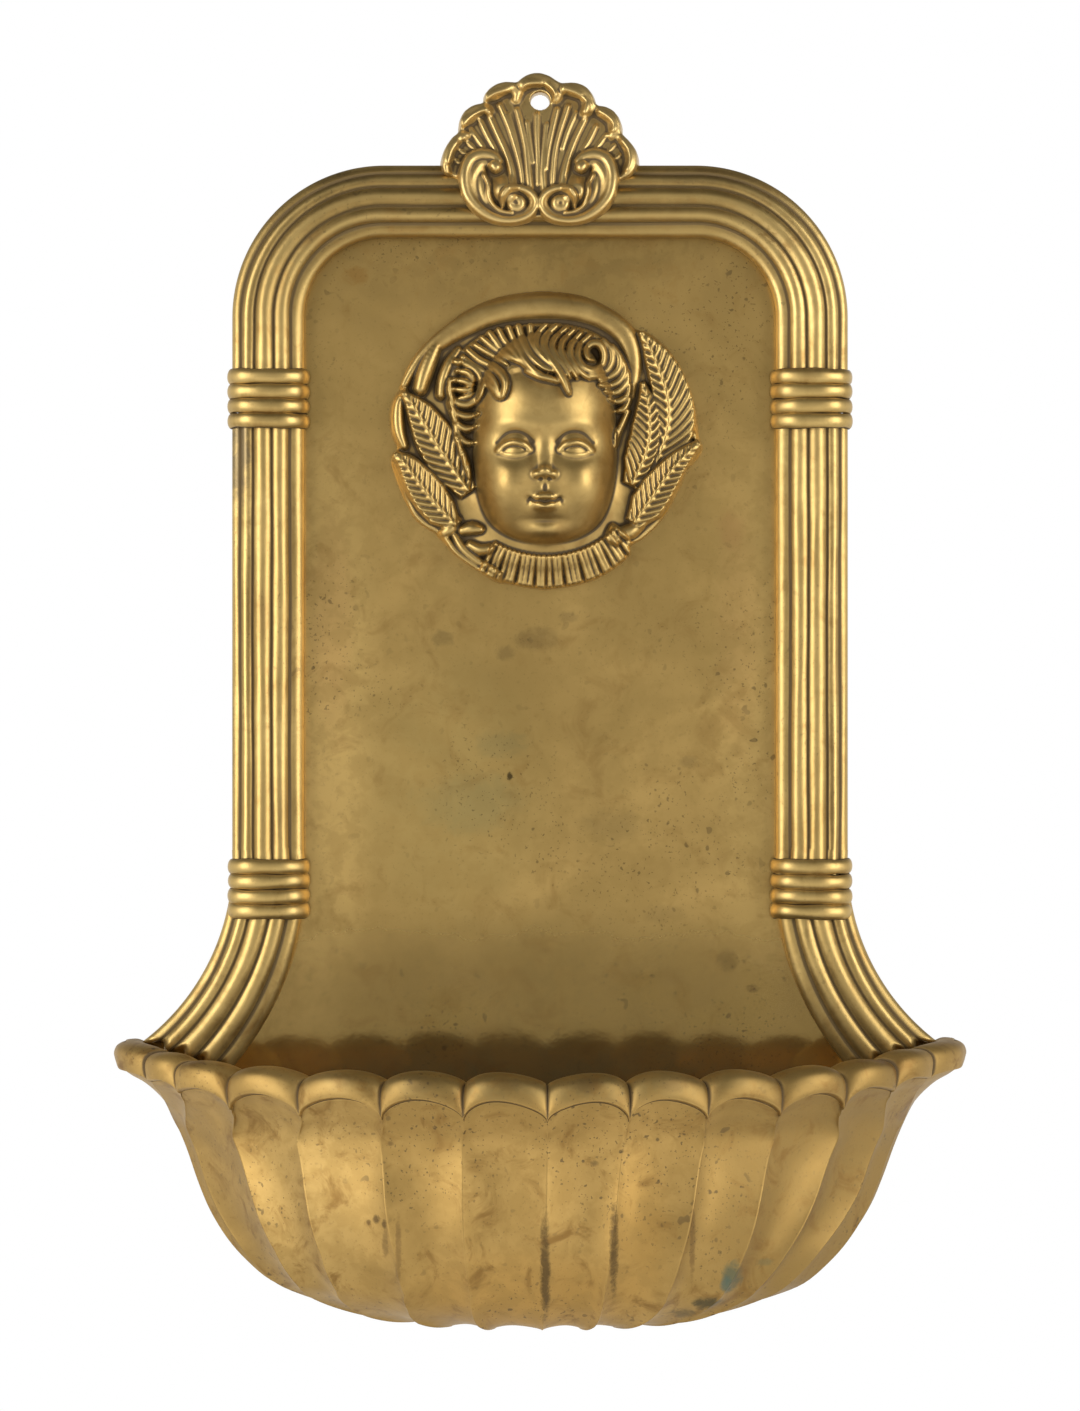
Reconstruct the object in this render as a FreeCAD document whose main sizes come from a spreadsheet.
import FreeCAD, Part
import math
import os
import Sketcher

# Holy water stoup of cast brass: a flat back plate with a reeded frame, a shell crest with the
# hanging hole, a round cherub medallion and a fluted half-bowl basin.
# Millimetres.  Origin: centre of the hanging hole, in the wall plane.  +X right, +Z up; the wall
# is the plane y = 0 and the front faces -Y.  A "drop" is a distance below the hanging hole.

Vector = FreeCAD.Vector
doc = FreeCAD.newDocument("stoup")

SIZES = [
    # back plate: a shallow tray whose rim stands on the wall
    ("PlateFace", 8.0, "wall to the front face of the plate"),
    ("PlateThick", 2.5, "sheet of the plate"),
    ("FlangeThick", 2.5, "rim of the tray"),
    ("PlateInset", 1.0, "plate edge inside the frame's outer edge"),
    ("PlateLowHalf", 88.0, "half width of the plate behind the basin's belly"),
    ("PlateLowDrop", 308.0, "where PlateLowHalf is measured"),
    ("PlateToeHalf", 45.0, "half width of the plate's straight bottom edge"),
    ("PlateBottomDrop", 333.0, "bottom edge of the plate"),
    # reeded frame
    ("FrameHalf", 86.0, "centre line to the outer edge of the frame"),
    ("FrameTopDrop", 19.2, "top edge of the frame"),
    ("CornerRadius", 42.0, "outer radius of the top corners"),
    ("MouldWide", 19.0, "width of the moulding"),
    ("MouldSide", 1.5, "upright side of the moulding below its dome"),
    ("MouldDome", 6.0, "rise of the dome above the side"),
    ("GrooveScale", 0.88, "dome size at the grooves, as a part of the size at the reeds"),
    ("FootStartDrop", 215.0, "where the feet begin to sweep outwards"),
    ("FootGap", 1.1, "lower end of the feet above the basin's lip"),
    ("FootInset", 6.7, "outer corner of the feet inside the end of the basin's lip"),
    # ribbon bands
    ("CordTall", 4.2, "height of one cord of a band"),
    ("CordRound", 1.9, "radius of a cord's rounded edges"),
    ("BandProud", 1.9, "band beyond the moulding at its sides"),
    ("BandRise", 1.6, "band beyond the moulding at its top"),
    ("UpperBandDrop", 84.6, "centre of the upper bands"),
    ("LowerBandDrop", 222.6, "centre of the lower bands"),
    # shell crest
    ("BoreRadius", 2.85, "hanging hole"),
    ("BoreSeat", 0.9, "width of the spot face round the hanging hole"),
    ("CrestThick", 7.0, "crest at the hanging hole"),
    ("CrestRise", 4.2, "crest in front of the frame's moulding"),
    ("CrestNeckHalf", 17.0, "half width of the crest where it steps over the frame"),
    ("CrestHalf", 24.0, "half width of the shell at its ears"),
    ("CrestEarDrop", 15.0, "ears of the shell"),
    ("CrestTop", 6.0, "shell's web above the hole"),
    ("CrestFootDrop", 36.0, "lower end of the crest"),
    ("LobeSink", 1.0, "lobes and ribs sunk into the face of the crest"),
    ("LobeLong", 5.8, "half length of a rolled lobe"),
    ("LobeThick", 3.5, "half thickness of a rolled lobe"),
    ("LobeDeep", 4.2, "half depth of a rolled lobe"),
    ("RibTip", 1.9, "radius of a shell rib at the lobes"),
    ("RibRoot", 0.9, "radius of a shell rib at the scrolls"),
    ("ScrollRing", 6.8, "large turn of a scroll"),
    ("ScrollTube", 2.7, "thickness of a scroll, as a radius"),
    ("ScrollOut", 12.4, "centre of the large turn from the centre line"),
    ("ScrollDrop", 26.8, "centre of the large turn"),
    ("VoluteRing", 3.7, "small turn of a scroll"),
    ("VoluteTube", 2.16, "thickness of the small turn, as a radius"),
    ("VoluteOut", 6.2, "centre of the small turn from the centre line"),
    ("VoluteDrop", 30.2, "centre of the small turn"),
    ("EyeRadius", 2.5, "ball in the eye of a scroll"),
    # cherub medallion
    ("MedalDrop", 96.8, "centre of the medallion"),
    ("MedalShift", 1.8, "medallion to the right of the centre line"),
    ("MedalRadius", 41.5, "round ground of the medallion"),
    ("MedalThick", 3.2, "ground of the medallion"),
    ("HeadHalfWide", 20.5, "half width of the head"),
    ("HeadHalfTall", 27.5, "half height of the head"),
    ("HeadRise", 20.0, "head in front of the plate"),
    ("HeadLift", 4.5, "head's centre above the medallion's centre"),
    ("HairHalfWide", 22.5, "half width of the hair"),
    ("HairHalfTall", 17.5, "half height of the hair"),
    ("HairRise", 15.5, "hair in front of the plate"),
    ("FeatherLong", 16.5, "half length of a wing feather"),
    ("FeatherWide", 6.0, "half width of a wing feather"),
    ("FeatherRise", 7.5, "feather in front of the plate"),
    ("FeatherOut", 30.0, "feather's centre from the medallion's centre"),
    ("RuffRing", 33.5, "middle of the pleated ruff"),
    ("RuffTube", 5.0, "half width of the ruff"),
    # basin
    ("RimHalf", 120.0, "half width of the basin at its lip"),
    ("RimDeep", 77.0, "plate to the front of the lip"),
    ("RimDrop", 268.6, "top of the lip"),
    ("BasinTall", 72.4, "lip to the bottom"),
    ("BasinWall", 3.0, "wall of the basin"),
    ("FluteDepth", 2.6, "hollow of a flute below its ridges"),
    ("LipArch", 3.6, "rise of the lip between its cusps"),
    ("FluteCount", 14.0, "flutes round the bowl"),
    ("BackWall", 3.0, "wall of the basin against the plate"),
    ("BackWallDrop", 284.0, "top edge of that wall"),
    # fasteners
    ("BasinScrewShank", 2.4, "radius of the basin screws"),
    ("BasinScrewHead", 4.4, "head radius of the basin screws"),
    ("BasinScrewReach", 7.0, "basin screw's bite in its boss"),
    ("BossRadius", 5.5, "screw boss in the basin"),
    ("BasinScrewOut", 52.0, "upper basin screws from the centre line"),
    ("BasinScrewDrop", 297.0, "upper basin screws"),
    ("BasinLowScrewDrop", 322.0, "lower basin screw"),
    ("WasherThick", 1.0, "washers"),
    ("WasherRadius", 6.0, "outer radius of the washers"),
    ("FrameScrewShank", 1.7, "radius of the frame and crest screws"),
    ("FrameScrewHead", 3.2, "head radius of the frame and crest screws"),
    ("FrameScrewReach", 4.6, "frame screw's bite in the moulding"),
    ("FrameScrewInset", 14.0, "frame screws from the ends of their moulding"),
    ("HeadTall", 2.4, "height of the screw heads"),
    ("StudRadius", 2.5, "cast studs of the medallion"),
    ("StudOut", 24.0, "studs above and below the medallion's centre"),
    ("NutHalf", 4.0, "half the nut across its flats"),
    ("NutTall", 3.4, "height of the nuts"),
    ("FitGap", 0.15, "gap round screws and studs"),
    ("SeatGap", 0.3, "gap between curved faces that meet"),
    # sizes that follow from the ones above
    ("FootEndDrop", "=RimDrop - FootGap", "lower end of the feet"),
    ("FootWide", "=RimHalf - FootInset - FrameHalf", "how far the feet sweep outwards"),
    ("FootSweep", "=(FootWide ^ 2 + (FootEndDrop - FootStartDrop) ^ 2) / (2 * FootWide)",
     "radius of the foot's outer edge"),
]

sheet = doc.addObject("Spreadsheet::Sheet", "Sizes")
for row, (alias, amount, note) in enumerate(SIZES, start=1):
    sheet.set(f"A{row}", alias)
    sheet.set(f"B{row}", str(amount))
    sheet.set(f"C{row}", note)
    sheet.setAlias(f"B{row}", alias)
doc.recompute()
S = {alias: float(sheet.get(alias)) for alias, amount, note in SIZES}


def number(expression):
    return float(sheet.evalExpression(expression))


def plane(body, role):
    return [feature for feature in body.Origin.OriginFeatures if feature.Role == role][0]


def new_body(name):
    body = doc.addObject("PartDesign::Body", name)
    body.Label = name
    return body


def new_sketch(body, name, role, offset=None):
    sketch = body.newObject("Sketcher::SketchObject", name)
    sketch.AttachmentSupport = [(plane(body, role), "")]
    sketch.MapMode = "FlatFace"
    if offset:
        sketch.setExpression("AttachmentOffset.Base.z", offset)
    return sketch


def bind_point(sketch, geometry, end, across, up):
    """Holds one point of a sketch at two expressions of the sheet."""
    for kind, expression in (("DistanceX", across), ("DistanceY", up)):
        index = sketch.addConstraint(
            Sketcher.Constraint(kind, -1, 1, geometry, end, number(expression)))
        sketch.setExpression(f"Constraints[{index}]", expression)


def arc_through(start, middle, end):
    """The sketch arc through three points, and whether it runs from start to end."""
    circle = Part.Arc(start, middle, end).toShape().Curve
    forward = (middle - start).cross(end - middle).z > 0
    first, last = (start, end) if forward else (end, start)
    first_angle = math.atan2(first.y - circle.Center.y, first.x - circle.Center.x)
    last_angle = math.atan2(last.y - circle.Center.y, last.x - circle.Center.x)
    if last_angle < first_angle:
        last_angle += 2 * math.pi
    full = Part.Circle(circle.Center, Vector(0, 0, 1), circle.Radius)
    return Part.ArcOfCircle(full, first_angle, last_angle), forward


def draw(sketch, steps, closed=True):
    """Draws joined lines and arcs.  A step is (across, up) for a line to that point or
    (mid across, mid up, across, up) for an arc; every coordinate is a bound expression."""
    def point(across, up):
        return Vector(number(across), number(up), 0)

    start = steps[-1] if closed else steps[0]
    last = point(*start[-2:])
    first_end = None
    previous = None
    for step in steps if closed else steps[1:]:
        end = point(*step[-2:])
        if len(step) == 2:
            geometry = sketch.addGeometry(Part.LineSegment(last, end))
            begins, ends = 1, 2
        else:
            arc, forward = arc_through(last, point(*step[:2]), end)
            geometry = sketch.addGeometry(arc)
            begins, ends = (1, 2) if forward else (2, 1)
            mark = sketch.addGeometry(Part.Point(point(*step[:2])), True)
            sketch.addConstraint(Sketcher.Constraint("PointOnObject", mark, 1, geometry))
            bind_point(sketch, mark, 1, *step[:2])
        if previous:
            sketch.addConstraint(Sketcher.Constraint("Coincident", *previous, geometry, begins))
        else:
            first_end = (geometry, begins)
            if not closed:
                bind_point(sketch, geometry, begins, *start)
        bind_point(sketch, geometry, ends, *step[-2:])
        previous = (geometry, ends)
        last = end
    if closed:
        sketch.addConstraint(Sketcher.Constraint("Coincident", *previous, *first_end))


def pad(body, name, sketch, length):
    feature = body.newObject("PartDesign::Pad", name)
    feature.Profile = sketch
    feature.setExpression("Length", length)
    return feature


def placed(kind, name, centre, sizes, turn=(0, 0, 0)):
    """A primitive with bound sizes at a bound place; turn is (yaw, pitch, roll)."""
    solid = doc.addObject(kind, name)
    for prop, expression in sizes.items():
        solid.setExpression(prop, expression)
    solid.Placement.Rotation = FreeCAD.Rotation(*turn)
    for axis, expression in zip("xyz", centre):
        solid.setExpression(f"Placement.Base.{axis}", expression)
    return solid


def fused(name, pieces):
    fuse = doc.addObject("Part::MultiFuse", name)
    fuse.Shapes = pieces
    return fuse


def cut(name, base, tool):
    result = doc.addObject("Part::Cut", name)
    result.Base = base
    result.Tool = tool
    return result


# ---------------------------------------------------------------- back plate

# Angle through which a foot sweeps down to its end, and the shares of it at the middle and at the
# end of the plate's edge behind the foot.
foot_turn = "(2 * atan(Sizes.FootWide / (Sizes.FootEndDrop - Sizes.FootStartDrop)))"
PLATE_SWEEP = (0.45, 0.9)


def plate_outline(inset):
    """The plate's edge, drawn the given distance inside its true edge."""
    half = f"(Sizes.FrameHalf - Sizes.PlateInset - {inset})"
    top = f"(-Sizes.FrameTopDrop - Sizes.PlateInset - {inset})"
    radius = f"(Sizes.CornerRadius - Sizes.PlateInset - {inset})"
    foot_x = "(Sizes.FrameHalf + Sizes.FootSweep)"
    foot_z = "(-Sizes.FootStartDrop)"
    sweep = f"(Sizes.FootSweep + Sizes.PlateInset + {inset})"
    diagonal = f"{radius} * (1 - cos(45 deg))"
    first_turn, last_turn = (f"({share} * {foot_turn})" for share in PLATE_SWEEP)
    low_half = f"(Sizes.PlateLowHalf - {inset})"
    bottom = f"(-Sizes.PlateBottomDrop + {inset})"

    def side(sign):
        """One side, from the top corner to the toe."""
        return [
            (f"{sign} * ({half} - {radius})", top),
            (f"{sign} * ({half} - {diagonal})", f"{top} - {diagonal}",
             f"{sign} * {half}", f"{top} - {radius}"),
            (f"{sign} * {half}", foot_z),
            (f"{sign} * ({foot_x} - {sweep} * cos({first_turn}))",
             f"{foot_z} - {sweep} * sin({first_turn})",
             f"{sign} * ({foot_x} - {sweep} * cos({last_turn}))",
             f"{foot_z} - {sweep} * sin({last_turn})"),
            (f"{sign} * {low_half}", "-Sizes.PlateLowDrop",
             f"{sign} * Sizes.PlateToeHalf", bottom),
        ]

    right = side("1")
    left = side("-1")
    steps = right + [left[-1][-2:]]
    for index in range(len(left) - 1, 0, -1):
        middle = left[index][:-2]
        steps.append(middle + left[index - 1][-2:])
    return steps


plate = new_body("back_plate")
outline = new_sketch(plate, "PlateOutline", "XZ_Plane")
draw(outline, plate_outline("0"))
pad(plate, "PlateBlank", outline, "Sizes.PlateFace")
doc.recompute()
tray = new_sketch(plate, "TrayOutline", "XZ_Plane")
draw(tray, plate_outline("Sizes.FlangeThick"))
hollow = plate.newObject("PartDesign::Pocket", "TrayHollow")
hollow.Profile = tray
hollow.Reversed = True
hollow.setExpression("Length", "Sizes.PlateFace - Sizes.PlateThick")
doc.recompute()

# ---------------------------------------------------------------- reeded mouldings

REEDS = 5


def reeded_section(x_of, y_of, grow="0"):
    """Section of the moulding: upright sides and a dome of reeds.  x_of turns a distance from the
    moulding's middle into a sketch coordinate, y_of one from the plate's face."""
    def dome(angle, scale):
        across = f"(Sizes.MouldWide / 2 * {scale} * cos({angle} deg))"
        rise = f"(Sizes.MouldSide + Sizes.MouldDome * {scale} * sin({angle} deg))"
        return (x_of(across), y_of(rise))

    span = 180.0 / REEDS
    steps = [(x_of("(-Sizes.MouldWide / 2)"), y_of("0")), (x_of("(Sizes.MouldWide / 2)"), y_of("0")),
             (x_of("(Sizes.MouldWide / 2)"), y_of("Sizes.MouldSide"))]
    for reed in range(REEDS):
        scale = "1" if reed == REEDS - 1 else "Sizes.GrooveScale"
        steps.append(dome((reed + 0.5) * span, "1") + dome((reed + 1) * span, scale))
    return steps


def middle_x(sign):
    return f"{sign} * (Sizes.FrameHalf - Sizes.MouldWide / 2)"


def moulding_section(body, sign, level):
    sketch = new_sketch(body, f"{body.Name}_section", "XY_Plane", level)
    draw(sketch, reeded_section(lambda across: f"{middle_x(sign)} + {across}",
                                lambda rise: f"(-Sizes.PlateFace - ({rise}))"))
    return sketch


band_half = "(2 * Sizes.CordTall)"
# A foot is turned a little further than its end, and then cut level.
FOOT_BEYOND = 1.1
for side_name, sign in (("left", "-1"), ("right", "1")):
    stile = new_body(f"stile_moulding_{side_name}")
    section = moulding_section(stile, sign, f"-Sizes.LowerBandDrop + {band_half}")
    pad(stile, f"Stile_{side_name}", section,
        f"Sizes.LowerBandDrop - Sizes.UpperBandDrop - 2 * {band_half}")

    corner = new_body(f"corner_moulding_{side_name}")
    section = moulding_section(corner, sign, f"-Sizes.UpperBandDrop + {band_half}")
    path = new_sketch(corner, f"Arch_{side_name}", "XZ_Plane")
    turn = "(Sizes.CornerRadius - Sizes.MouldWide / 2)"
    level = "(-Sizes.FrameTopDrop - Sizes.MouldWide / 2)"
    draw(path, [
        (middle_x(sign), f"-Sizes.UpperBandDrop + {band_half}"),
        (middle_x(sign), f"{level} - {turn}"),
        (f"{middle_x(sign)} - {sign} * {turn} * (1 - cos(45 deg))",
         f"{level} - {turn} * (1 - sin(45 deg))",
         f"{middle_x(sign)} - {sign} * {turn}", level),
        ("0", level)], closed=False)
    sweep = corner.newObject("PartDesign::AdditivePipe", f"Corner_{side_name}")
    sweep.Profile = section
    sweep.Spine = (path, ["Edge1", "Edge2", "Edge3"])

    bend = new_body(f"foot_bend_{side_name}")
    section = moulding_section(bend, sign, "-Sizes.FootStartDrop")
    axis = section.addGeometry(
        Part.LineSegment(Vector(0, 0, 0), Vector(0, S["PlateFace"], 0)), True)
    axis_x = f"{sign} * (Sizes.FrameHalf + Sizes.FootSweep)"
    bind_point(section, axis, 1, axis_x, "-Sizes.PlateFace")
    bind_point(section, axis, 2, axis_x, "0")
    turned = bend.newObject("PartDesign::Revolution", f"Bend_{side_name}")
    turned.Profile = section
    turned.ReferenceAxis = (section, ["Axis0"])
    turned.setExpression("Angle", f"{foot_turn} * {FOOT_BEYOND}")
    turned.Reversed = sign == "1"
    slab = placed("Part::Box", f"foot_slab_{side_name}",
                  ("-2 * Sizes.FrameHalf", "-3 * Sizes.PlateFace", "-Sizes.FootEndDrop"),
                  {"Length": "4 * Sizes.FrameHalf", "Width": "4 * Sizes.PlateFace",
                   "Height": f"Sizes.FootEndDrop - Sizes.LowerBandDrop - {band_half}"})
    foot = doc.addObject("Part::Common", f"foot_moulding_{side_name}")
    foot.Base = bend
    foot.Tool = slab
doc.recompute()

# ---------------------------------------------------------------- ribbon bands


def band(name, sign, centre_drop):
    """Four cords, one above the other, bent over the dome of the moulding."""
    body = new_body(name)
    half = "(Sizes.MouldWide / 2 + Sizes.BandProud)"
    rise = "(Sizes.MouldSide + Sizes.MouldDome + Sizes.BandRise)"
    centre = middle_x(sign)
    sketch = new_sketch(body, f"{name}_section", "XY_Plane", f"-{centre_drop} - {band_half}")
    draw(sketch, [
        (f"{centre} - {half}", "-Sizes.PlateFace"),
        (f"{centre} + {half}", "-Sizes.PlateFace"),
        (f"{centre} + {half}", "-Sizes.PlateFace - Sizes.MouldSide"),
        (centre, f"-Sizes.PlateFace - {rise}",
         f"{centre} - {half}", "-Sizes.PlateFace - Sizes.MouldSide")])
    cord = pad(body, f"{name}_cord", sketch, "Sizes.CordTall")
    doc.recompute()
    edges = []
    for index, edge in enumerate(cord.Shape.Edges, start=1):
        middle = edge.valueAt((edge.FirstParameter + edge.LastParameter) / 2)
        level_edge = abs(edge.tangentAt(edge.FirstParameter).z) < 1e-6
        if level_edge and middle.y < -S["PlateFace"] - 1e-3:
            edges.append(f"Edge{index}")
    rounding = body.newObject("PartDesign::Fillet", f"{name}_round")
    rounding.Base = (cord, edges)
    rounding.setExpression("Radius", "Sizes.CordRound")
    doc.recompute()
    pattern = body.newObject("PartDesign::LinearPattern", f"{name}_cords")
    pattern.Originals = [cord, rounding]
    pattern.Direction = (plane(body, "Z_Axis"), [""])
    pattern.setExpression("Length", "3 * Sizes.CordTall")
    pattern.Occurrences = 4
    body.Tip = pattern
    return body


for side_name, sign in (("left", "-1"), ("right", "1")):
    band(f"ribbon_band_upper_{side_name}", sign, "Sizes.UpperBandDrop")
    band(f"ribbon_band_lower_{side_name}", sign, "Sizes.LowerBandDrop")
doc.recompute()

# ---------------------------------------------------------------- basin

# Side view of the bowl's outer face, from the neck under the lip down to the bottom: share of the
# height below the lip, share of the lip's half width, share of the lip's depth, and the power of
# the half ellipse that the bowl follows at that level: 2 is a true ellipse, more is squarer.
LIP_POWER = 1.8
BOWL = [
    (0.15, 0.910, 0.920, 1.85),
    (0.23, 0.868, 0.890, 1.9),
    (0.40, 0.830, 0.900, 2.0),
    (0.60, 0.782, 0.890, 2.2),
    (0.78, 0.700, 0.840, 2.4),
    (0.91, 0.570, 0.760, 2.5),
    (0.975, 0.460, 0.690, 2.6),
    (1.0, 0.390, 0.640, 2.6),
]
flutes = int(S["FluteCount"])


def plan_point(angle, half, deep, power, level):
    """The point of the bowl's outline at one level that lies in a direction from the middle of
    the wall; angle 0 is along the wall to the right."""
    across, out = math.cos(angle), math.sin(angle)
    reach = (abs(across / half) ** power + abs(out / deep) ** power) ** (-1 / power)
    return Vector(reach * across, -S["PlateFace"] - reach * out, level)


def ridge_angles():
    """Directions in which the flutes divide the lip into equal lengths.  Each ridge stays in its
    direction all the way down."""
    steps = 720
    points = [plan_point(math.pi * i / steps, S["RimHalf"], S["RimDeep"], LIP_POWER, 0)
              for i in range(steps + 1)]
    run = [0.0]
    for before, after in zip(points, points[1:]):
        run.append(run[-1] + before.distanceToPoint(after))
    angles = []
    for ridge in range(flutes + 1):
        target = run[-1] * ridge / flutes
        angles.append(min(range(steps + 1), key=lambda i: abs(run[i] - target)) * math.pi / steps)
    return angles


RIDGES = ridge_angles()


def flute_edges(half, deep, power, level, hollow, arch):
    """One level of the fluted wall: an arc for each flute, from ridge to ridge."""
    edges = []
    for first, last in zip(RIDGES, RIDGES[1:]):
        middle = plan_point((first + last) / 2, half - hollow, deep - hollow, power, level + arch)
        edges.append(Part.Arc(plan_point(first, half, deep, power, level), middle,
                              plan_point(last, half, deep, power, level)).toShape())
    return edges


def wall_stations(thickness):
    """The bowl's levels from the neck to the bottom as (half, deep, power, level), moved into the
    bowl by a thickness, square to its side view."""
    outer = [(half * S["RimHalf"], deep * S["RimDeep"], power, -S["RimDrop"] - drop * S["BasinTall"])
             for drop, half, deep, power in BOWL]
    moved = []
    for index, (half, deep, power, level) in enumerate(outer):
        above = outer[max(index - 1, 0)]
        below = outer[min(index + 1, len(outer) - 1)]
        run = math.hypot(above[0] - below[0], above[3] - below[3])
        inwards = thickness * (above[3] - below[3]) / run
        upwards = thickness * (above[0] - below[0]) / run
        lowest = -S["RimDrop"] - S["BasinTall"] + thickness
        moved.append((half - inwards, deep - inwards, power, max(level + upwards, lowest)))
    return moved


def bowl_levels():
    """Levels of the wall in order: outer bottom, outer neck, over the lip, inner neck, inner
    bottom.  Each is the list of edges of that level."""
    wall = S["BasinWall"]
    flute = S["FluteDepth"]
    arch = S["LipArch"]
    cusp = -S["RimDrop"] - arch
    outer = [flute_edges(*station, flute, 0) for station in reversed(wall_stations(0))]
    inner = [flute_edges(*station, flute, 0) for station in wall_stations(wall)[1:-1]]
    half, deep, power, level = wall_stations(0)[-1]
    inner.append(flute_edges(half - 2 * wall, deep - 2 * wall, power, level + wall, flute, 0))
    # The lip from outside to inside: how far in from its outer edge, how far below its cusps, and
    # the rise of its arches there.
    lip = [(wall, 1.7 * wall, arch), (0, 1.4 * wall, arch), (wall, wall / 2, arch),
           (3 * wall, 0, arch), (5 * wall, wall, arch / 2)]
    over = [flute_edges(S["RimHalf"] - back, S["RimDeep"] - back, LIP_POWER, cusp - down, flute,
                        rise) for back, down, rise in lip]
    return outer, over, inner


def bowl_shell():
    """The fluted wall as a closed solid, open towards the plate and at the top."""
    outer, lip, inner = bowl_levels()
    levels = outer + lip + inner
    skin = Part.makeLoft([Part.Wire(edges) for edges in levels], False, True)
    outer_line = Part.makeLine(levels[0][0].firstVertex().Point, levels[0][-1].lastVertex().Point)
    inner_line = Part.makeLine(levels[-1][0].firstVertex().Point, levels[-1][-1].lastVertex().Point)
    under = Part.Face(Part.Wire(Part.__sortEdges__(levels[0] + [outer_line])))
    floor = Part.Face(Part.Wire(Part.__sortEdges__(levels[-1] + [inner_line])))
    ends = [edge for edge in skin.Edges
            if all(abs(vertex.Y + S["PlateFace"]) < 1e-4 for vertex in edge.Vertexes)
            and edge.Length < S["RimHalf"]]
    back = Part.Face(Part.Wire(Part.__sortEdges__(ends + [outer_line, inner_line])))
    shell = Part.Shell(skin.Faces + [under, floor, back])
    shell.sewShape()
    return Part.Solid(shell)


def back_wall():
    """Flat wall that closes the bowl against the plate, below the lip; its edge runs in the
    middle of the fluted wall."""
    inside = S["BasinWall"] / 2
    right = [(half, level) for half, deep, power, level in wall_stations(inside)
             if level < -S["BackWallDrop"] - inside]
    outline = [(right[0][0], -S["BackWallDrop"])] + right
    outline += [(-across, level) for across, level in reversed(outline)]
    points = [Vector(across, -S["PlateFace"], level) for across, level in outline]
    face = Part.Face(Part.makePolygon(points + [points[0]]))
    return face.extrude(Vector(0, -S["BackWall"], 0))


def rod(across, level, radius, back, front):
    """A round bar square to the wall, between two distances from it."""
    return Part.makeCylinder(radius, front - back, Vector(across, -back, level), Vector(0, -1, 0))


basin_spots = [("-Sizes.BasinScrewOut", "-Sizes.BasinScrewDrop"),
               ("Sizes.BasinScrewOut", "-Sizes.BasinScrewDrop"),
               ("0", "-Sizes.BasinLowScrewDrop")]
basin_places = [(number(across), number(level)) for across, level in basin_spots]
seat = S["PlateFace"]
bosses = [rod(across, level, S["BossRadius"], seat, seat + S["BasinScrewReach"] + S["BackWall"])
          for across, level in basin_places]
bores = [rod(across, level, S["BasinScrewShank"] + S["FitGap"], seat,
             seat + S["BasinScrewReach"] + S["FitGap"]) for across, level in basin_places]
basin = doc.addObject("Part::Feature", "basin")
basin.Shape = bowl_shell().fuse([back_wall()] + bosses).cut(Part.makeCompound(bores))

# ---------------------------------------------------------------- shell crest

over_frame = "(Sizes.PlateFace + Sizes.MouldSide + Sizes.MouldDome + Sizes.SeatGap)"
crest_front = f"({over_frame} + Sizes.CrestRise)"
above_frame = "(-Sizes.FrameTopDrop + Sizes.SeatGap)"

web = new_body("shell_web")
web_outline = new_sketch(web, "WebOutline", "XZ_Plane")
shoulder = "(Sizes.CrestEarDrop + Sizes.CrestTop) * sin(45 deg) - Sizes.CrestEarDrop"
draw(web_outline, [
    ("-Sizes.CrestNeckHalf", above_frame),
    ("-Sizes.CrestHalf", "-Sizes.CrestEarDrop"),
    ("-Sizes.CrestHalf * cos(45 deg)", shoulder, "0", "Sizes.CrestTop"),
    ("Sizes.CrestHalf * cos(45 deg)", shoulder, "Sizes.CrestHalf", "-Sizes.CrestEarDrop"),
    ("Sizes.CrestNeckHalf", above_frame)])
pad(web, "Web", web_outline, "Sizes.CrestThick")

neck = new_body("crest_neck")
neck_side = new_sketch(neck, "NeckSide", "YZ_Plane", "-Sizes.CrestNeckHalf")
draw(neck_side, [
    ("0", "-3 * Sizes.BoreRadius"),
    ("0", above_frame),
    (f"-{over_frame}", above_frame),
    (f"-{over_frame}", "-Sizes.CrestFootDrop"),
    (f"-{crest_front}", "-Sizes.CrestFootDrop"),
    (f"-{crest_front}", above_frame),
    ("-Sizes.CrestThick", "-1.5 * Sizes.BoreRadius")])
pad(neck, "Neck", neck_side, "2 * Sizes.CrestNeckHalf")

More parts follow.
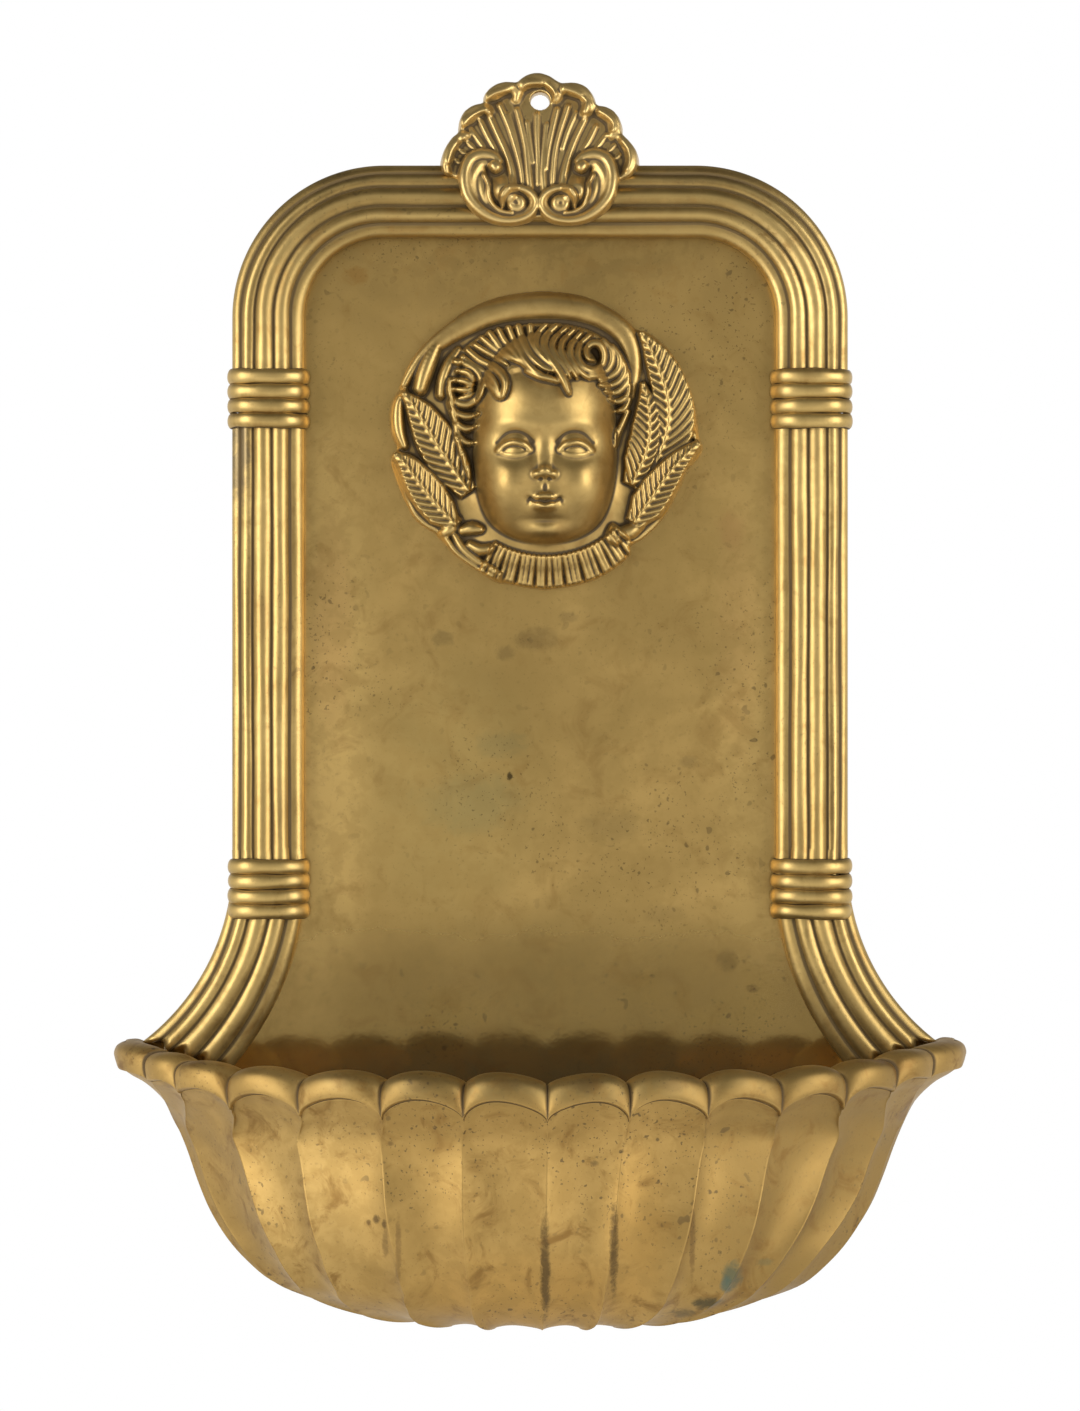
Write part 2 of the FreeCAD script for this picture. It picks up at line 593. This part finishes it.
crest_parts = [web, neck]
for index, angle in enumerate((12, 40, 64, 90, 116, 140, 168)):
    crest_parts.append(placed(
        "Part::Ellipsoid", f"lobe_{index}",
        (f"Sizes.CrestHalf * cos({angle} deg)", "-Sizes.CrestThick + Sizes.LobeSink",
         f"-Sizes.CrestEarDrop + (Sizes.CrestEarDrop + Sizes.CrestTop) * sin({angle} deg)"
         " - Sizes.LobeThick / 4"),
        {"Radius1": "Sizes.LobeThick", "Radius2": "Sizes.LobeLong", "Radius3": "Sizes.LobeDeep"},
        (0, 90 - angle, 0)))
for side_name, sign in (("left", "-1"), ("right", "1")):
    scroll_y = f"(-{over_frame} - Sizes.ScrollTube - Sizes.SeatGap)"
    crest_parts.append(placed(
        "Part::Torus", f"scroll_{side_name}",
        (f"{sign} * Sizes.ScrollOut", scroll_y, "-Sizes.ScrollDrop"),
        {"Radius1": "Sizes.ScrollRing", "Radius2": "Sizes.ScrollTube"}, (0, 0, 90)))
    crest_parts.append(placed(
        "Part::Torus", f"volute_{side_name}",
        (f"{sign} * Sizes.VoluteOut", scroll_y, "-Sizes.VoluteDrop"),
        {"Radius1": "Sizes.VoluteRing", "Radius2": "Sizes.VoluteTube"}, (0, 0, 90)))
    crest_parts.append(placed(
        "Part::Sphere", f"eye_{side_name}",
        (f"{sign} * Sizes.VoluteOut", f"{scroll_y} - Sizes.EyeRadius / 2", "-Sizes.VoluteDrop"),
        {"Radius": "Sizes.EyeRadius"}))

# Ribs fan out from the neck to the lobes; the middle one ends below the hanging hole.
RIBS = 9
RIB_FAN = math.radians(52)
for index in range(RIBS):
    lean = RIB_FAN * (2 * index / (RIBS - 1) - 1)
    root = Vector(S["CrestNeckHalf"] * 0.63 * math.sin(lean), -number(crest_front) + S["LobeSink"],
                  number(above_frame))
    reach = S["CrestEarDrop"] + S["CrestTop"] - S["LobeThick"]
    if index == RIBS // 2:
        reach -= 3 * S["BoreRadius"]
    tip = Vector(S["CrestHalf"] * 0.9 * math.sin(lean), -S["CrestThick"],
                 -S["CrestEarDrop"] + reach * math.cos(lean))
    rib = placed("Part::Cone", f"rib_{index}", (str(root.x), str(root.y), str(root.z)),
                 {"Radius1": "Sizes.RibRoot", "Radius2": "Sizes.RibTip"})
    rib.Height = root.distanceToPoint(tip)
    rib.Placement.Rotation = FreeCAD.Rotation(Vector(0, 0, 1), tip - root)
    crest_parts.append(rib)

crest_bore = placed("Part::Cylinder", "crest_bore", ("0", "Sizes.CrestThick", "0"),
                    {"Radius": "Sizes.BoreRadius", "Height": "4 * Sizes.CrestThick"}, (0, 0, 90))
bore_seat = placed("Part::Cylinder", "bore_seat", ("0", "-Sizes.CrestThick", "0"),
                   {"Radius": "Sizes.BoreRadius + Sizes.BoreSeat",
                    "Height": "2 * Sizes.CrestThick"}, (0, 0, 90))
crest_mass = fused("crest_mass", crest_parts)

# Everything behind the crest's seat on the frame is cut away below the frame's top edge.
crest_seat = placed("Part::Box", "crest_seat",
                    ("-Sizes.FrameHalf", f"-{over_frame}", f"-3 * Sizes.CrestFootDrop"),
                    {"Length": "2 * Sizes.FrameHalf", "Width": f"2 * {over_frame}",
                     "Height": f"3 * Sizes.CrestFootDrop + {above_frame}"})
crest_wall = placed("Part::Box", "crest_wall",
                    ("-Sizes.FrameHalf", "0", "-Sizes.FrameHalf"),
                    {"Length": "2 * Sizes.FrameHalf", "Width": "Sizes.FrameHalf",
                     "Height": "2 * Sizes.FrameHalf"})
crest_spots = [("-Sizes.CrestNeckHalf * 0.6", "-Sizes.ScrollDrop"),
               ("Sizes.CrestNeckHalf * 0.6", "-Sizes.ScrollDrop")]
screw_bore = "(Sizes.FrameScrewShank + Sizes.FitGap)"
crest_screw_bores = [
    placed("Part::Cylinder", f"crest_screw_bore_{index}", (across, f"-{over_frame}", level),
           {"Radius": screw_bore, "Height": "Sizes.CrestRise"}, (0, 0, 90))
    for index, (across, level) in enumerate(crest_spots)]
crest_tools = fused("crest_tools",
                    [crest_bore, bore_seat, crest_seat, crest_wall] + crest_screw_bores)
crest = cut("shell_crest", crest_mass, crest_tools)
doc.recompute()

# ---------------------------------------------------------------- cherub medallion

medal_x = "Sizes.MedalShift"
medal_z = "(-Sizes.MedalDrop)"
face_y = "(-Sizes.PlateFace)"


def boss(name, centre, half_wide, rise, half_tall, turn=0):
    """A rounded boss that stands out of the plate's face, turned about its own middle."""
    return placed("Part::Ellipsoid", name, centre,
                  {"Radius1": half_tall, "Radius2": half_wide, "Radius3": rise}, (0, turn, 0))


head_z = f"({medal_z} + Sizes.HeadLift)"
medal_parts = [
    placed("Part::Cylinder", "medal_ground", (medal_x, face_y, medal_z),
           {"Radius": "Sizes.MedalRadius", "Height": "Sizes.MedalThick / 2"}, (0, 0, 90)),
    boss("medal_dome", (medal_x, face_y, medal_z), "Sizes.MedalRadius", "Sizes.MedalThick * 1.6",
         "Sizes.MedalRadius"),
    boss("head", (medal_x, face_y, head_z), "Sizes.HeadHalfWide", "Sizes.HeadRise",
         "Sizes.HeadHalfTall"),
    boss("hair", (medal_x, face_y, f"{head_z} + Sizes.HeadHalfTall / 2"), "Sizes.HairHalfWide",
         "Sizes.HairRise", "Sizes.HairHalfTall"),
    boss("nose", (medal_x, f"{face_y} - Sizes.HeadRise * 0.93",
                  f"{head_z} - Sizes.HeadHalfTall * 0.22"),
         "Sizes.HeadHalfWide / 7", "Sizes.HeadRise / 7", "Sizes.HeadHalfTall / 7"),
    boss("cheek_left", (f"{medal_x} - Sizes.HeadHalfWide / 2", f"{face_y} - Sizes.HeadRise / 2",
                        f"{head_z} - Sizes.HeadHalfTall * 0.35"),
         "Sizes.HeadHalfWide * 0.4", "Sizes.HeadRise * 0.32", "Sizes.HeadHalfTall * 0.3"),
    boss("cheek_right", (f"{medal_x} + Sizes.HeadHalfWide / 2", f"{face_y} - Sizes.HeadRise / 2",
                         f"{head_z} - Sizes.HeadHalfTall * 0.35"),
         "Sizes.HeadHalfWide * 0.4", "Sizes.HeadRise * 0.32", "Sizes.HeadHalfTall * 0.3"),
]

# Wing feathers: direction of each feather's middle from the medallion's centre and the way its
# length lies, both in degrees from +X towards +Z.
FEATHERS = {"left_high": (172, 112), "left_low": (206, 135), "right_high": (28, 75),
            "right_middle": (4, 68), "right_low": (-24, 52)}
for feather, (direction, lie) in FEATHERS.items():
    medal_parts.append(boss(
        f"feather_{feather}",
        (f"{medal_x} + Sizes.FeatherOut * cos({direction} deg)", face_y,
         f"{medal_z} + Sizes.FeatherOut * sin({direction} deg)"),
        "Sizes.FeatherLong", "Sizes.FeatherRise", "Sizes.FeatherWide", -lie))

ruff = placed("Part::Torus", "ruff", (medal_x, face_y, medal_z),
              {"Radius1": "Sizes.RuffRing", "Radius2": "Sizes.RuffTube"}, (0, 0, 90))
ruff_below = placed("Part::Box", "ruff_below",
                    (f"{medal_x} - 2 * Sizes.MedalRadius", "-4 * Sizes.PlateFace",
                     f"{medal_z} - 2 * Sizes.MedalRadius"),
                    {"Length": "4 * Sizes.MedalRadius", "Width": "4 * Sizes.PlateFace",
                     "Height": "2 * Sizes.MedalRadius - Sizes.RuffRing / 2"})
ruff_arc = doc.addObject("Part::Common", "ruff_arc")
ruff_arc.Base = ruff
ruff_arc.Tool = ruff_below
medal_parts.append(ruff_arc)

behind_face = placed("Part::Box", "behind_face",
                     ("-2 * Sizes.MedalRadius", face_y, f"{medal_z} - 2 * Sizes.MedalRadius"),
                     {"Length": "4 * Sizes.MedalRadius", "Width": "4 * Sizes.HeadRise",
                      "Height": "4 * Sizes.MedalRadius"})
medal_front = cut("medal_front", fused("medal_mass", medal_parts), behind_face)
stud_long = "(Sizes.PlateThick + Sizes.WasherThick + Sizes.NutTall + Sizes.SeatGap)"
stud_spots = [(medal_x, f"{medal_z} + Sizes.StudOut"), (medal_x, f"{medal_z} - Sizes.StudOut")]
studs = [placed("Part::Cylinder", f"medal_stud_{index}", (across, face_y, level),
                {"Radius": "Sizes.StudRadius", "Height": stud_long}, (0, 0, -90))
         for index, (across, level) in enumerate(stud_spots)]
medallion = fused("cherub_medallion", [medal_front] + studs)
doc.recompute()

# ---------------------------------------------------------------- holes for screws and studs


def drill(body, name, spots, radius, depth, start="0"):
    """Round holes towards the front, from a plane that lies a distance in front of the wall."""
    sketch = new_sketch(body, f"{name}_places", "XZ_Plane", start)
    for across, level in spots:
        circle = sketch.addGeometry(Part.Circle(Vector(number(across), number(level), 0),
                                                Vector(0, 0, 1), number(radius)))
        bind_point(sketch, circle, 3, across, level)
        index = sketch.addConstraint(Sketcher.Constraint("Radius", circle, number(radius)))
        sketch.setExpression(f"Constraints[{index}]", radius)
    hole = body.newObject("PartDesign::Pocket", name)
    hole.Profile = sketch
    hole.Reversed = True
    hole.setExpression("Length", depth)
    doc.recompute()


mould_middle = "(Sizes.FrameHalf - Sizes.MouldWide / 2)"
foot_middle = "(Sizes.FootSweep + Sizes.MouldWide / 2)"
foot_screw_turns = [f"({share} * {foot_turn})" for share in (0.33, 0.6)]
frame_spots = []
for side_name, sign in (("left", "-1"), ("right", "1")):
    straight = f"{sign} * {mould_middle}"
    groups = {
        f"stile_moulding_{side_name}": [
            (straight, f"-Sizes.UpperBandDrop - {band_half} - Sizes.FrameScrewInset"),
            (straight, f"-Sizes.LowerBandDrop + {band_half} + Sizes.FrameScrewInset")],
        f"corner_moulding_{side_name}": [
            (straight, "-Sizes.FrameTopDrop - Sizes.CornerRadius"),
            (f"{sign} * (Sizes.CrestHalf + Sizes.FrameScrewInset)",
             "-Sizes.FrameTopDrop - Sizes.MouldWide / 2")],
        f"foot_bend_{side_name}": [
            (f"{sign} * (Sizes.FrameHalf + Sizes.FootSweep - {foot_middle} * cos({turn}))",
             f"-Sizes.FootStartDrop - {foot_middle} * sin({turn})")
            for turn in foot_screw_turns],
        f"ribbon_band_upper_{side_name}": [(straight, "-Sizes.UpperBandDrop")],
        f"ribbon_band_lower_{side_name}": [(straight, "-Sizes.LowerBandDrop")],
    }
    for name, spots in groups.items():
        drill(doc.getObject(name), f"{name}_bores", spots, screw_bore,
              "Sizes.FrameScrewReach + Sizes.SeatGap", "Sizes.PlateFace")
        frame_spots += spots
    drill(doc.getObject(f"corner_moulding_{side_name}"), f"crest_passage_{side_name}",
          [crest_spots[0] if sign == "-1" else crest_spots[1]], screw_bore, over_frame)

plate_deep = "(Sizes.PlateFace * 2)"
drill(plate, "frame_holes", frame_spots + crest_spots, screw_bore, plate_deep)
drill(plate, "stud_holes", stud_spots, "(Sizes.StudRadius + Sizes.FitGap)", plate_deep)
drill(plate, "basin_holes", basin_spots, "(Sizes.BasinScrewShank + Sizes.FitGap)", plate_deep)

# ---------------------------------------------------------------- screws, washers and nuts

tray_back = S["PlateFace"] - S["PlateThick"]


def screw(across, level, shank, head, under_head, reach):
    """A slotted cheese-head screw; its head stands off the wall by under_head, its tip by reach."""
    body = rod(across, level, head, under_head - S["HeadTall"], under_head)
    body = body.fuse(rod(across, level, shank, under_head, reach))
    slot_wide = head / 4
    slot = Part.makeBox(3 * head, S["HeadTall"] / 2, slot_wide,
                        Vector(across - 1.5 * head, -(under_head - S["HeadTall"] / 2),
                               level - slot_wide / 2))
    return body.cut(slot)


def group(name, solids):
    feature = doc.addObject("Part::Feature", name)
    feature.Shape = Part.makeCompound(solids)
    return feature


def places(spots):
    return [(number(across), number(level)) for across, level in spots]


def washer(across, level, bore):
    disc = rod(across, level, S["WasherRadius"], tray_back - S["WasherThick"], tray_back)
    return disc.cut(rod(across, level, bore, 0, S["PlateFace"]))


def nut(across, level):
    """A hexagon nut behind its washer."""
    corner = S["NutHalf"] / math.cos(math.pi / 6)
    back = tray_back - S["WasherThick"] - S["NutTall"]
    corners = [Vector(across + corner * math.cos(math.pi * turn / 3), -back,
                      level + corner * math.sin(math.pi * turn / 3)) for turn in range(6)]
    block = Part.Face(Part.makePolygon(corners + [corners[0]])).extrude(
        Vector(0, -S["NutTall"], 0))
    return block.cut(rod(across, level, S["StudRadius"] + S["FitGap"] / 2, 0, S["PlateFace"]))


crest_tip = number(over_frame) + S["CrestRise"] - 2 * S["FitGap"]
nodes = [plate]
nodes += [doc.getObject(f"{part}_moulding_{side_name}")
          for part in ("corner", "stile", "foot") for side_name in ("left", "right")]
nodes += [doc.getObject(f"ribbon_band_{level}_{side_name}")
          for level in ("upper", "lower") for side_name in ("left", "right")]
nodes += [crest, medallion, basin]
nodes += [
    group("frame_screws", [
        screw(across, level, S["FrameScrewShank"], S["FrameScrewHead"], tray_back,
              S["PlateFace"] + S["FrameScrewReach"]) for across, level in places(frame_spots)]),
    group("crest_screws", [
        screw(across, level, S["FrameScrewShank"], S["FrameScrewHead"], tray_back, crest_tip)
        for across, level in places(crest_spots)]),
    group("basin_screws", [
        screw(across, level, S["BasinScrewShank"], S["BasinScrewHead"],
              tray_back - S["WasherThick"], S["PlateFace"] + S["BasinScrewReach"])
        for across, level in basin_places]),
    group("basin_washers", [washer(across, level, S["BasinScrewShank"] + S["FitGap"])
                            for across, level in basin_places]),
    group("medallion_washers", [washer(across, level, S["StudRadius"] + S["FitGap"])
                                for across, level in places(stud_spots)]),
    group("medallion_nuts", [nut(across, level) for across, level in places(stud_spots)]),
]
doc.recompute()

# ---------------------------------------------------------------- checks and files

failed = [item.Name for item in doc.Objects if "Invalid" in item.State or "Error" in item.State]
if failed:
    raise RuntimeError("failed objects: " + ", ".join(failed))
for node in nodes:
    if node.Shape.isNull() or not node.Shape.isValid() or not node.Shape.Solids:
        raise RuntimeError("bad shape: " + node.Label)

os.makedirs("parts", exist_ok=True)
for node in nodes:
    node.Shape.exportStep(f"parts/{node.Label}.step")
    print(node.Label, len(node.Shape.Solids), "solids", round(node.Shape.Volume), "mm3")
